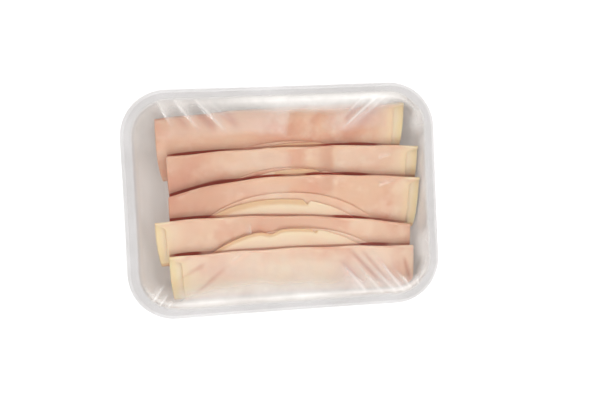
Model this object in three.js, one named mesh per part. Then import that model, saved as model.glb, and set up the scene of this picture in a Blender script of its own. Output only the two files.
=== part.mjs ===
// A sealed supermarket tray of folded mortadella slices: a shallow plastic tray
// with a rolled flange, a clear lid film sealed on it, and five round slices.
// Each slice is folded twice and the folded slices overlap like roof shingles,
// with the round edge of the lower flap looking out beyond the first fold.
// Millimetres, +Z up, +X along the tray, origin under the middle of the tray.
import * as THREE from 'three';

// ---- tray ----
const TRAY_LENGTH = 187.6; // before its sides bow in
const TRAY_WIDTH = 134;
const TRAY_HEIGHT = 20; // from the foot to the top of the flange
const CORNER_RADIUS = 28;
const SIDE_BOW = 0.5; // how far the middle of each side pulls in
const WALL = 0.8;
const FLANGE = 7; // rolled lip and flat sealing land together
const LIP_RADIUS = 2.5;
const LIP_SKIRT = 0.8; // straight drop below the rolled lip
const SHOULDER_RADIUS = 1.2; // where the land turns down into the wall
const DRAFT = THREE.MathUtils.degToRad(8);
const BASE_RADIUS = 8;
const FOOT_WIDTH = 7;
const PANEL_RISE = 0.7; // the middle of the floor stands this far above the foot
const PANEL_SLOPE = 2.5;
const SMALLEST_CORNER = 3;

// ---- lid film ----
const FILM = 0.4;
const CLEARANCE = 0.3; // kept between neighbours that touch
const FILM_DIP = 2.2; // the vacuum pulls the film down over the food
const FILM_REACH = 13; // the dip is reached this far inside the land
const FILM_LIP = 0.9; // the film stops this far inside the rolled lip

// ---- slices ----
const HALF_DEPTH = 67; // half the short axis of one flat slice
const ROUNDNESS = 2.25; // exponent of the round edge of the flap, 2 is an ellipse
const END_ROUNDNESS = 3; // exponent of the two ends
const LEAF = 1.05; // thickness of the meat
const LAYER = 1.3; // from one leaf to the next in a fold
const LEAVES = 4;
const SLOT_PITCH = 18.5; // spacing of the slices along the floor
const FIRST_SLOT = 14.5; // where the far slice starts on the floor
const SAG_START = 14; // beyond this the far slice hangs lower
const SAG = 3;
const RISE_START = -26; // before this the near slices climb the wall
const RISE = 8.6;
const WARP_SPAN = 40; // the distance over which SAG and RISE are reached
const LEAF_BLEND = 2; // the ends of the two leaves part within about this distance of the fold
const PRESS_BAND = 2; // the wall presses the meat back over this distance

// One folded slice each, from the far side to the near side: x of its middle, y of its
// first fold, slope, bow and skew of that fold, half its long axis, distance to the
// second fold and the tilt of that one, how far the first fold misses the middle, and
// how far the inner leaf has slid towards +X and the outer leaf towards -X.
const SLICES = [
  {
    x: 1.5, y: 54.5, slope: 0.031, bow: 2.0, skew: 0,
    half: 71.2, width: 35.0, tilt: 0, miss: 4.2, slide: 3.6,
  },
  {
    x: 8.2, y: 30.4, slope: 0, bow: 2.3, skew: 0,
    half: 72.0, width: 29.6, tilt: 0, miss: 2.6, slide: 3.8,
  },
  {
    x: 8.4, y: 13.3, slope: 0.026, bow: 6.1, skew: -2.4,
    half: 72.6, width: 29.5, tilt: 0.02, miss: 2.6, slide: 3.4,
  },
  {
    x: 0.9, y: -10.4, slope: -0.061, bow: 4.2, skew: 0,
    half: 74.0, width: 24.8, tilt: -0.02, miss: 4.2, slide: -3.0,
  },
  {
    x: 5.0, y: -29.9, slope: -0.013, bow: 1.9, skew: 0,
    half: 70.3, width: 24.8, tilt: 0, miss: 1.7, slide: -3.5,
  },
];

// ---- fineness ----
const CORNER_STEPS = 6;
const LONG_STEPS = 4;
const SHORT_STEPS = 3;
const ARC_STEPS = 3;
const BASE_STEPS = 4;
const FILM_RINGS = [0.12, 0.35, 0.65, 1];
const ACROSS = 14; // cells along a slice
const DOWN = 5; // cells from the first fold to the second
const DOWN_SPREAD = 1.5; // above 1 they lie closer together at the first fold
const BEND = 3; // cells round the second fold
const CAP = 3; // cells from the second fold to the round edge
const CROWN = 4; // cells round the first fold
const HALVINGS = 30; // steps of the search for the round edge
const CORNERS_PER_MM = 500; // corners closer than this grid are one

const floorHeight = WALL + PANEL_RISE;
const stackHeight = (LEAVES - 1) * LAYER + LEAF;
const bendCentre = stackHeight / 2;
const crownLength = (Math.PI * LAYER) / 4; // half the arc of the first fold
const slotAngle = Math.asin((stackHeight + CLEARANCE) / SLOT_PITCH);

const plastic = new THREE.MeshStandardMaterial({ color: 0xded9d4, roughness: 0.35, metalness: 0 });
const clearFilm = new THREE.MeshStandardMaterial({
  color: 0xf4f2ef, roughness: 0.08, metalness: 0, transparent: true, opacity: 0.25,
});
const meatTones = [0xe0b598, 0xdcb195, 0xdfb79b, 0xe6c2a4, 0xe8cbb0];

// ---- closed bodies ----

/** Collects triangles on shared corners and drops the ones without an area. */
class SolidBuilder {
  constructor() {
    this.corners = new Map();
    this.positions = [];
    this.triangles = [];
  }

  corner(p) {
    const key = [p.x, p.y, p.z].map((value) => Math.round(value * CORNERS_PER_MM)).join();
    if (!this.corners.has(key)) {
      this.corners.set(key, this.positions.length / 3);
      this.positions.push(p.x, p.y, p.z);
    }
    return this.corners.get(key);
  }

  triangle(a, b, c) {
    const face = [a, b, c].map((p) => this.corner(p));
    if (new Set(face).size === 3) this.triangles.push(...face);
  }

  quad(a, b, c, d) {
    this.triangle(a, b, c);
    this.triangle(a, c, d);
  }

  geometry() {
    const geometry = new THREE.BufferGeometry();
    geometry.setAttribute('position', new THREE.Float32BufferAttribute(this.positions, 3));
    geometry.setIndex(this.triangles);
    geometry.computeVertexNormals();
    return geometry;
  }
}

/** Joins rings of equal length in order, with a fan over the first and the last. */
function ringedSolid(rings, firstCentre, lastCentre) {
  const solid = new SolidBuilder();
  const count = rings[0].length;
  const last = rings[rings.length - 1];
  for (let k = 0; k < count; k += 1) {
    const next = (k + 1) % count;
    solid.triangle(firstCentre, rings[0][k], rings[0][next]);
    for (let i = 0; i + 1 < rings.length; i += 1) {
      solid.quad(rings[i][k], rings[i + 1][k], rings[i + 1][next], rings[i][next]);
    }
    solid.triangle(lastCentre, last[next], last[k]);
  }
  return solid.geometry();
}

// ---- tray ----

/** The tray's rounded outline, moved in by an inset, at one height. */
function outlineRing(inset, height) {
  const halfX = TRAY_LENGTH / 2 - inset;
  const halfY = TRAY_WIDTH / 2 - inset;
  const radius = Math.max(CORNER_RADIUS - inset, SMALLEST_CORNER);
  const ring = [];
  for (let quarter = 0; quarter < 4; quarter += 1) {
    const signX = quarter === 0 || quarter === 3 ? 1 : -1;
    const signY = quarter < 2 ? 1 : -1;
    const centre = new THREE.Vector2(signX * (halfX - radius), signY * (halfY - radius));
    for (let step = 0; step <= CORNER_STEPS; step += 1) {
      const angle = (quarter + step / CORNER_STEPS) * (Math.PI / 2);
      const x = centre.x + radius * Math.cos(angle);
      const y = centre.y + radius * Math.sin(angle);
      ring.push(new THREE.Vector2(x, y));
    }
    const alongX = quarter % 2 === 0;
    const steps = alongX ? LONG_STEPS : SHORT_STEPS;
    const from = ring[ring.length - 1];
    const to = alongX
      ? new THREE.Vector2(-centre.x, from.y)
      : new THREE.Vector2(from.x, -centre.y);
    for (let step = 1; step < steps; step += 1) {
      ring.push(from.clone().lerp(to, step / steps));
    }
  }
  return ring.map((p) => bowIn(p, height));
}

/** Pulls the middle of the long and the short sides in a little. */
function bowIn(p, height) {
  const alongX = p.x / (TRAY_LENGTH / 2);
  const alongY = p.y / (TRAY_WIDTH / 2);
  const x = p.x - SIDE_BOW * alongX * (1 - alongY * alongY);
  const y = p.y - SIDE_BOW * alongY * (1 - alongX * alongX);
  return new THREE.Vector3(x, y, height);
}

/** Points on an arc of the tray's section, from one angle to another. */
function sectionArc(centreX, centreZ, radius, from, to, steps) {
  const points = [];
  for (let step = 0; step <= steps; step += 1) {
    const angle = THREE.MathUtils.lerp(from, to, step / steps);
    const x = centreX + radius * Math.cos(angle);
    const z = centreZ + radius * Math.sin(angle);
    points.push(new THREE.Vector2(x, z));
  }
  return points;
}

/** The upper face of the tray's section as (inset, height), from the lip to the floor. */
function upperSection() {
  const right = Math.PI / 2;
  const landEnd = FLANGE - SHOULDER_RADIUS;
  const shoulder = sectionArc(
    landEnd, TRAY_HEIGHT - SHOULDER_RADIUS, SHOULDER_RADIUS, right, DRAFT, ARC_STEPS,
  );
  const wallTop = shoulder[shoulder.length - 1];
  const baseCentreZ = WALL + BASE_RADIUS;
  const wallFootZ = baseCentreZ - BASE_RADIUS * Math.sin(DRAFT);
  const wallFootX = wallTop.x + (wallTop.y - wallFootZ) * Math.tan(DRAFT);
  const baseCentreX = wallFootX + BASE_RADIUS * Math.cos(DRAFT);
  const base = sectionArc(
    baseCentreX, baseCentreZ, BASE_RADIUS, Math.PI + DRAFT, 3 * right, BASE_STEPS,
  );
  const panelStart = baseCentreX + FOOT_WIDTH;
  return [
    new THREE.Vector2(0, TRAY_HEIGHT - LIP_RADIUS - LIP_SKIRT),
    ...sectionArc(LIP_RADIUS, TRAY_HEIGHT - LIP_RADIUS, LIP_RADIUS, 2 * right, right, ARC_STEPS),
    ...shoulder,
    ...base,
    new THREE.Vector2(panelStart, WALL),
    new THREE.Vector2(panelStart + PANEL_SLOPE, floorHeight),
  ];
}

/** The lower face: every point of the upper one moved out by the wall's thickness. */
function lowerSection(upper) {
  return upper.map((point, index) => {
    const before = upper[Math.max(index - 1, 0)];
    const after = upper[Math.min(index + 1, upper.length - 1)];
    const arriving = point.clone().sub(before).normalize();
    const leaving = after.clone().sub(point).normalize();
    const along = arriving.add(leaving).normalize();
    return new THREE.Vector2(point.x + along.y * WALL, point.y - along.x * WALL);
  });
}

function makeTray() {
  const upper = upperSection();
  const lower = lowerSection(upper);
  const flatBottom = lower.length - 2;
  lower[flatBottom].y = 0;
  lower[flatBottom - 1].y = 0;
  lower[flatBottom + 1].y = PANEL_RISE;
  const section = [...upper.reverse(), ...lower];
  const rings = section.map((point) => outlineRing(point.x, point.y));
  const top = new THREE.Vector3(0, 0, floorHeight);
  const bottom = new THREE.Vector3(0, 0, PANEL_RISE);
  return ringedSolid(rings, top, bottom);
}

// ---- lid film ----

/** Height of the film's underside at a distance inside the outline. */
function filmHeight(inset) {
  const share = THREE.MathUtils.smoothstep(inset, FLANGE - SHOULDER_RADIUS, FLANGE + FILM_REACH);
  return TRAY_HEIGHT + CLEARANCE - FILM_DIP * share;
}

function makeFilm() {
  const land = FLANGE - SHOULDER_RADIUS;
  const insets = [FILM_LIP + LIP_RADIUS / 2, land];
  FILM_RINGS.forEach((share) => insets.push(land + share * (FILM_REACH + SHOULDER_RADIUS)));
  const under = insets.map((inset) => outlineRing(inset, filmHeight(inset)));
  const over = insets.map((inset) => outlineRing(inset, filmHeight(inset) + FILM));
  const middle = filmHeight(FLANGE + FILM_REACH);
  const top = new THREE.Vector3(0, 0, middle + FILM);
  const bottom = new THREE.Vector3(0, 0, middle);
  return ringedSolid([...over.reverse(), ...under], top, bottom);
}

// ---- slices ----

/** A share from 0 to 1 for a step along the slice, closer together at the ends. */
function spread(step) {
  return (1 - Math.cos((Math.PI * step) / ACROSS)) / 2;
}

/** Distance from the first fold to the round edge of one leaf, at a place along it. */
function roundEdge(slice, along, side, roundness) {
  const share = Math.min(Math.abs(along) / slice.half, 1);
  return HALF_DEPTH * (1 - share ** roundness) ** (1 / roundness) - side * slice.miss;
}

/** How far the end of a leaf is moved along the fold. On the fold itself both ends stand out. */
function endSlide(slice, side, down, end) {
  const away = Math.tanh(down / LEAF_BLEND);
  return THREE.MathUtils.lerp(end * Math.abs(slice.slide), side * slice.slide, away);
}

/** Where a line down + tilt * along meets the slice's edge, towards one end. */
function edgeMeeting(slice, side, down, tilt, end) {
  const slid = endSlide(slice, side, down, end);
  let inner = 0;
  let outer = slice.half;
  for (let round = 0; round < HALVINGS; round += 1) {
    const middle = (inner + outer) / 2;
    const reached = down + tilt * (end * middle + slid) + crownLength;
    const inside = reached < roundEdge(slice, end * middle, side, END_ROUNDNESS);
    if (inside) inner = middle;
    else outer = middle;
  }
  return end * inner + slid;
}

/** Rows of flat points on one leaf, from the first fold to its round edge. */
function leafRows(slice, side) {
  const radius = bendRadius(side);
  const bendLength = Math.PI * radius;
  const rows = [];
  const addRow = (down, tilt, reach) => {
    const left = edgeMeeting(slice, side, down, tilt, -1);
    const right = edgeMeeting(slice, side, down, tilt, 1);
    const row = [];
    for (let step = 0; step <= ACROSS; step += 1) {
      const along = THREE.MathUtils.lerp(left, right, spread(step));
      const start = down + tilt * along;
      const round = roundEdge(slice, along - side * slice.slide, side, ROUNDNESS);
      const edge = Math.max(round - crownLength, start);
      row.push(new THREE.Vector2(along, THREE.MathUtils.lerp(start, edge, reach)));
    }
    rows.push(row);
  };
  for (let step = 0; step <= DOWN; step += 1) {
    const share = (step / DOWN) ** DOWN_SPREAD;
    addRow(slice.width * share, slice.tilt * share, 0);
  }
  for (let step = 1; step <= BEND; step += 1) {
    addRow(slice.width + (bendLength * step) / BEND, slice.tilt, 0);
  }
  for (let step = 1; step <= CAP; step += 1) {
    addRow(slice.width + bendLength, slice.tilt, step / CAP);
  }
  return rows;
}

/** The inner leaf (side 1) turns inside the outer one (side -1) at the second fold. */
function bendRadius(side) {
  return side > 0 ? LAYER / 2 : 1.5 * LAYER;
}

/** Folds a flat point of one leaf: place along, place down and depth in the stack. */
function foldOver(slice, side, flat, offset) {
  const radius = bendRadius(side);
  const bent = radius - side * offset;
  const angle = Math.atan(slice.tilt);
  const beyond = (flat.y - slice.width - slice.tilt * flat.x) * Math.cos(angle);
  if (beyond <= 0) return new THREE.Vector3(flat.x, flat.y, bendCentre - bent);
  const turn = Math.min(beyond / radius, Math.PI);
  const back = Math.max(beyond - Math.PI * radius, 0);
  const shift = bent * Math.sin(turn) - back - beyond;
  return new THREE.Vector3(
    flat.x - shift * Math.sin(angle),
    flat.y + shift * Math.cos(angle),
    bendCentre - bent * Math.cos(turn),
  );
}

/** Places on the first fold, between the two leaves. */
function crownRow(slice, share, offset) {
  const angle = THREE.MathUtils.lerp(-Math.PI / 2, Math.PI / 2, share);
  const radius = LAYER / 2 + offset;
  const left = edgeMeeting(slice, 1, 0, 0, -1);
  const right = edgeMeeting(slice, 1, 0, 0, 1);
  const row = [];
  for (let step = 0; step <= ACROSS; step += 1) {
    const along = THREE.MathUtils.lerp(left, right, spread(step));
    const depth = LEAF / 2 + LAYER / 2 + radius * Math.sin(angle);
    row.push(new THREE.Vector3(along, -radius * Math.cos(angle), depth));
  }
  return row;
}

/** Lays a folded point into the slice's sloping slot and lets the pile settle. */
function settle(slice, index, p) {
  const share = p.x / slice.half;
  const bulge = (slice.bow + slice.skew * share) * (1 - share * share);
  const fold = slice.y - slice.bow + slice.slope * p.x + bulge;
  const slot = FIRST_SLOT - index * SLOT_PITCH;
  const up = (fold - slot) / Math.cos(slotAngle) - p.y;
  const height = stackHeight - p.z;
  const y = slot + up * Math.cos(slotAngle) - height * Math.sin(slotAngle);
  const z = floorHeight + CLEARANCE + up * Math.sin(slotAngle) + height * Math.cos(slotAngle);
  const sag = SAG * (Math.max(y - SAG_START, 0) / WARP_SPAN) ** 2;
  const rise = RISE * (Math.max(RISE_START - y, 0) / WARP_SPAN) ** 2;
  return pressInside(new THREE.Vector3(slice.x + p.x, y, z - sag + rise));
}

/** Keeps a point of the meat inside the tray's wall by squeezing it back softly. */
function pressInside(p) {
  const coreX = TRAY_LENGTH / 2 - CORNER_RADIUS;
  const coreY = TRAY_WIDTH / 2 - CORNER_RADIUS;
  const nearest = new THREE.Vector2(
    THREE.MathUtils.clamp(p.x, -coreX, coreX),
    THREE.MathUtils.clamp(p.y, -coreY, coreY),
  );
  const away = new THREE.Vector2(p.x, p.y).sub(nearest);
  const wall = CORNER_RADIUS - FLANGE - (TRAY_HEIGHT - p.z) * Math.tan(DRAFT);
  const free = wall - CLEARANCE - SIDE_BOW - PRESS_BAND;
  const over = away.length() - free;
  if (over <= 0) return p;
  away.setLength(free + PRESS_BAND * (1 - Math.exp(-over / PRESS_BAND)));
  return new THREE.Vector3(nearest.x + away.x, nearest.y + away.y, p.z);
}

/** One face of the folded slice as a grid of points, offset from the middle of the meat. */
function sliceFace(slice, index, offset) {
  const folded = (side) => leafRows(slice, side)
    .map((row) => row.map((p) => foldOver(slice, side, p, offset)));
  const crown = [];
  for (let step = 1; step < CROWN; step += 1) {
    crown.push(crownRow(slice, step / CROWN, offset));
  }
  const rows = [...folded(-1).reverse(), ...crown, ...folded(1)];
  return rows.map((row) => row.map((p) => settle(slice, index, p)));
}

function makeSlice(slice, index) {
  const outer = sliceFace(slice, index, LEAF / 2);
  const inner = sliceFace(slice, index, -LEAF / 2);
  const solid = new SolidBuilder();
  const lastRow = outer.length - 1;
  for (let i = 0; i < lastRow; i += 1) {
    for (let k = 0; k < ACROSS; k += 1) {
      solid.quad(outer[i][k], outer[i][k + 1], outer[i + 1][k + 1], outer[i + 1][k]);
      solid.quad(inner[i + 1][k], inner[i + 1][k + 1], inner[i][k + 1], inner[i][k]);
    }
    solid.quad(outer[i][0], outer[i + 1][0], inner[i + 1][0], inner[i][0]);
    solid.quad(outer[i][ACROSS], inner[i][ACROSS], inner[i + 1][ACROSS], outer[i + 1][ACROSS]);
  }
  for (let k = 0; k < ACROSS; k += 1) {
    solid.quad(outer[0][k + 1], outer[0][k], inner[0][k], inner[0][k + 1]);
    solid.quad(outer[lastRow][k], outer[lastRow][k + 1], inner[lastRow][k + 1], inner[lastRow][k]);
  }
  return solid.geometry();
}

// ---- the pack ----

function named(name, geometry, material) {
  const mesh = new THREE.Mesh(geometry, material);
  mesh.name = name;
  return mesh;
}

const group = new THREE.Group();
group.add(named('tray', makeTray(), plastic));
SLICES.forEach((slice, index) => {
  const meat = new THREE.MeshStandardMaterial({ color: meatTones[index], roughness: 0.45, metalness: 0 });
  group.add(named(`slice_${index + 1}`, makeSlice(slice, index), meat));
});
group.add(named('lid_film', makeFilm(), clearFilm));

export default group;
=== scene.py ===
"""Looks of a sealed tray of folded mortadella slices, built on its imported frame.

The tray, the lid film and the five folded slices are modelled again in full
detail, each in the place of its solid. Sizes are in millimetres and a mesh is
turned to metres when it is finished. +X runs along the tray, +Z is up.
"""

import logging
import math
from dataclasses import dataclass
from enum import Enum

import bmesh
import bpy
import numpy as np
from mathutils import Matrix, Vector


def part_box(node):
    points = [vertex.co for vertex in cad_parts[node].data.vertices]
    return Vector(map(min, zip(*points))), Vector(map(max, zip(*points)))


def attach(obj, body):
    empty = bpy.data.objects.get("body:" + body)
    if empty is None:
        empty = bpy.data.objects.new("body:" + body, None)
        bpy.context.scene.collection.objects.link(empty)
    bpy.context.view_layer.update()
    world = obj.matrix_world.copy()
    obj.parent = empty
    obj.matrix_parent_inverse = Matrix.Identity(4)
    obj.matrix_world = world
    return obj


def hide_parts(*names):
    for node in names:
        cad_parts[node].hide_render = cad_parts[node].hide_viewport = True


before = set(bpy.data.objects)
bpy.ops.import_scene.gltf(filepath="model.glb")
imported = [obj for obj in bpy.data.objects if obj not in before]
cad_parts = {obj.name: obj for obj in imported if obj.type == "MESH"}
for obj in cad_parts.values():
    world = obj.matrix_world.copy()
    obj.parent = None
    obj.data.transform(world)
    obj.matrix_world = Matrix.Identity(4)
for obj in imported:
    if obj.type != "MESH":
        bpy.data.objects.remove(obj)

LOG = logging.getLogger("tray_of_slices")
MM = 0.001
BODY = "root"

Pair = tuple[float, float]
Colour = tuple[float, float, float]
Place = tuple[float, float, float]
Array = np.ndarray
Socket = bpy.types.NodeSocket

# ---- dimensions that the whole pile shares, as in the frame ----
WALL = 0.8
FLANGE = 7.0
DRAFT = math.radians(8.0)
CORNER_RADIUS = 28.0
SIDE_BOW = 0.5
PANEL_RISE = 0.7
CLEARANCE = 0.3
HALF_DEPTH = 67.0
ROUNDNESS = 2.25
END_ROUNDNESS = 3.0
LEAF = 1.05
LAYER = 1.3
LEAVES = 4
SLOT_PITCH = 18.5
FIRST_SLOT = 14.5
SAG_START = 14.0
SAG = 3.0
RISE_START = -26.0
RISE = 8.6
WARP_SPAN = 40.0
LEAF_BLEND = 2.0
PRESS_BAND = 2.0

FLOOR_HEIGHT = WALL + PANEL_RISE
STACK_HEIGHT = (LEAVES - 1) * LAYER + LEAF
BEND_CENTRE = STACK_HEIGHT / 2
CROWN_LENGTH = math.pi * LAYER / 4
CROWN_REACH = (LAYER + LEAF) / 2
SLOT_ANGLE = math.asin((STACK_HEIGHT + CLEARANCE) / SLOT_PITCH)


def smoothstep(value: Array, low: float, high: float) -> Array:
    """Rises smoothly from 0 at low to 1 at high."""
    share = np.clip((value - low) / (high - low), 0.0, 1.0)
    return share * share * (3.0 - 2.0 * share)


def bell(value: Array, centre: float, spread: float) -> Array:
    """A bell curve of height 1."""
    return np.exp(-(((value - centre) / spread) ** 2))


def window(value: Array, rise: Pair, fall: Pair) -> Array:
    """Rises smoothly to 1 over the span rise and falls back to 0 over the span fall."""
    return smoothstep(value, *rise) * (1.0 - smoothstep(value, *fall))


def about(place: float, soft: float) -> Pair:
    """The span that reaches equally far to both sides of a place."""
    return (place - soft, place + soft)


def line_places(start: Pair, end: Pair, x: Array, y: Array) -> tuple[Array, Array]:
    """Finds where points lie beside a line.

    Args:
        start: Where the line starts.
        end: Where it ends.
        x: Places along the tray.
        y: Places across the tray.

    Returns:
        Share along the line, from 0 to 1, and distance to its left.
    """
    run = np.array(end) - np.array(start)
    length = float(np.linalg.norm(run))
    run = run / length
    gap_x, gap_y = x - start[0], y - start[1]
    return (gap_x * run[0] + gap_y * run[1]) / length, gap_y * run[0] - gap_x * run[1]


@dataclass(frozen=True)
class Wave:
    """A sine wave: height, lengths along x and y, start, and shift for each unit of a number."""

    height: float
    x_length: float
    y_length: float = math.inf
    start: float = 0.0
    shift: float = 0.0


def ripple(waves: tuple[Wave, ...], x: Array, y: Array, number: float = 0.0) -> Array:
    """Adds up waves.

    Args:
        waves: The waves.
        x: Places along the tray.
        y: Places across the tray.
        number: What the shift of each wave is multiplied by.

    Returns:
        The height at each place.
    """
    height = np.zeros_like(x)
    for wave in waves:
        turn = x / wave.x_length + y / wave.y_length + wave.start + wave.shift * number
        height = height + wave.height * np.sin(turn)
    return height


def linear(red: float, green: float, blue: float) -> tuple[float, float, float, float]:
    """Turns a colour of 0 to 255, as it looks on a screen, to linear light.

    Args:
        red: Red from 0 to 255.
        green: Green from 0 to 255.
        blue: Blue from 0 to 255.

    Returns:
        The linear colour with an alpha of 1.
    """
    shares = [value / 255.0 for value in (red, green, blue)]
    lights = [s / 12.92 if s <= 0.04045 else ((s + 0.055) / 1.055) ** 2.4 for s in shares]
    return (lights[0], lights[1], lights[2], 1.0)


def read_points(mesh: bpy.types.Mesh) -> Array:
    """Reads where a mesh's vertices are.

    Args:
        mesh: The mesh.

    Returns:
        An array with three columns.
    """
    flat = np.empty(len(mesh.vertices) * 3)
    mesh.vertices.foreach_get("co", flat)
    return flat.reshape(-1, 3)


def write_points(mesh: bpy.types.Mesh, points: Array) -> None:
    """Moves the mesh's vertices to new places."""
    mesh.vertices.foreach_set("co", points.astype(np.float32).ravel())
    mesh.update()


def write_value(mesh: bpy.types.Mesh, name: str, values: Array) -> None:
    """Stores one number for each vertex, for the finish to read."""
    layer = mesh.attributes.new(name, "FLOAT", "POINT")
    layer.data.foreach_set("value", values.astype(np.float32))


def close_up(mesh: bpy.types.Mesh, merge: float, sharp_angle: float) -> None:
    """Merges doubles, turns the faces outwards, and scales the mesh to metres.

    Args:
        mesh: A mesh in millimetres.
        merge: Vertices that are closer than this become one.
        sharp_angle: Edges that turn by more than this, in radians, stay sharp.
    """
    bm = bmesh.new()
    bm.from_mesh(mesh)
    # Blender's own order can differ from run to run, and the merge depends on it.
    points = read_points(mesh)
    ranks = np.empty(len(points))
    ranks[np.lexsort(points.T)] = np.arange(len(points))
    bm.verts.sort(key=lambda vert: ranks[vert.index])
    bmesh.ops.remove_doubles(bm, verts=bm.verts, dist=merge)
    bmesh.ops.recalc_face_normals(bm, faces=bm.faces)
    bmesh.ops.scale(bm, vec=(MM, MM, MM), verts=bm.verts)
    for face in bm.faces:
        face.smooth = True
    bm.to_mesh(mesh)
    bm.free()
    mesh.set_sharp_from_angle(angle=sharp_angle)


def drawn(bm: bmesh.types.BMesh, name: str) -> bpy.types.Mesh:
    """Turns a finished bmesh into a mesh.

    Args:
        bm: The bmesh, which is freed.
        name: The mesh's name.

    Returns:
        The new mesh.
    """
    mesh = bpy.data.meshes.new(name)
    bm.to_mesh(mesh)
    bm.free()
    return mesh


def show(mesh: bpy.types.Mesh, finish: bpy.types.Material) -> bpy.types.Object:
    """Puts a mesh into the scene, at the origin, in its finish.

    Args:
        mesh: The finished mesh.
        finish: Its material.

    Returns:
        The new object.
    """
    mesh.materials.clear()
    mesh.materials.append(finish)
    piece = bpy.data.objects.new(mesh.name, mesh)
    bpy.context.scene.collection.objects.link(piece)
    return piece


# ---- finishes ----


class NodeSheet:
    """The nodes of a new material or world, and short calls that add more."""

    def __init__(self, owner: bpy.types.Material | bpy.types.World) -> None:
        """Starts without nodes.

        Args:
            owner: The material or world that the nodes are for.
        """
        owner.use_nodes = True
        self.owner = owner
        self.tree = owner.node_tree
        self.tree.nodes.clear()

    def node(self, kind: str, sockets: dict | None = None, **settings: object) -> bpy.types.Node:
        """Adds one node.

        Args:
            kind: The node's type.
            sockets: For each input, a value or the output that feeds it.
            **settings: The node's own properties.

        Returns:
            The new node.
        """
        made = self.tree.nodes.new(kind)
        for key, value in settings.items():
            setattr(made, key, value)
        for key, value in (sockets or {}).items():
            if isinstance(value, Socket):
                self.tree.links.new(value, made.inputs[key])
            else:
                made.inputs[key].default_value = value
        return made

    def math(self, operation: str, *values: object) -> Socket:
        """Adds a sum of numbers and returns its result."""
        sockets = dict(enumerate(values))
        return self.node("ShaderNodeMath", sockets, operation=operation).outputs[0]

    def band(self, value: Socket, low: float, high: float) -> Socket:
        """Rises smoothly from 0 at low to 1 at high."""
        sockets = {0: value, 1: low, 2: high}
        return self.node("ShaderNodeMapRange", sockets, interpolation_type="SMOOTHSTEP").outputs[0]

    def below(self, value: Socket, low: float, high: float) -> Socket:
        """Falls smoothly from 1 at low to 0 at high."""
        return self.math("SUBTRACT", 1.0, self.band(value, low, high))

    def remap(self, value: Socket, taken: Pair, given: Pair) -> Socket:
        """Turns the numbers of one span into those of another."""
        sockets = {0: value, 1: taken[0], 2: taken[1], 3: given[0], 4: given[1]}
        return self.node("ShaderNodeMapRange", sockets).outputs[0]

    def tint(self, share: object, first: object, tone: Colour) -> Socket:
        """Mixes a tone of 0 to 255 into a colour."""
        sockets = {0: share, 6: first, 7: linear(*tone)}
        return self.node("ShaderNodeMix", sockets, data_type="RGBA").outputs[2]

    def noise(self, where: Socket, scale: float, detail: float) -> Socket:
        """Soft noise from 0 to 1."""
        sockets = {"Vector": where, "Scale": scale, "Detail": detail, "Roughness": 0.55}
        return self.node("ShaderNodeTexNoise", sockets).outputs["Fac"]

    def value(self, name: str) -> Socket:
        """The number that the mesh stores under a name."""
        return self.node("ShaderNodeAttribute", attribute_name=name).outputs["Fac"]

    def stretch(self, where: Socket, scale: Place, shift: Place) -> Socket:
        """Scales and shifts a pattern."""
        return self.node("ShaderNodeMapping", {0: where, 1: shift, 3: scale}).outputs[0]

    def finish(self, shader: Socket) -> bpy.types.Material:
        """Joins a shader to the output and returns the material."""
        self.node("ShaderNodeOutputMaterial", {"Surface": shader})
        return self.owner


@dataclass(frozen=True)
class Mottle:
    """A layer of noise that mixes one more tone into the meat.

    It mixes in nothing where the noise is at low and its whole share where it
    is at high. Its shift is multiplied by the seed.
    """

    scale: float
    detail: float
    low: float
    high: float
    share: float
    squash: float = 1.0
    shift: Pair = (0.0, 0.0)


CLOUDS = Mottle(3.2, 3.0, 0.44, 0.68, 0.8, squash=0.7, shift=(1.0, 0.0))
PATCHES = Mottle(7.0, 4.0, 0.48, 0.68, 0.6, shift=(0.0, 1.0))
GRAIN = Mottle(70.0, 3.0, 0.52, 0.72, 0.24)


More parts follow.
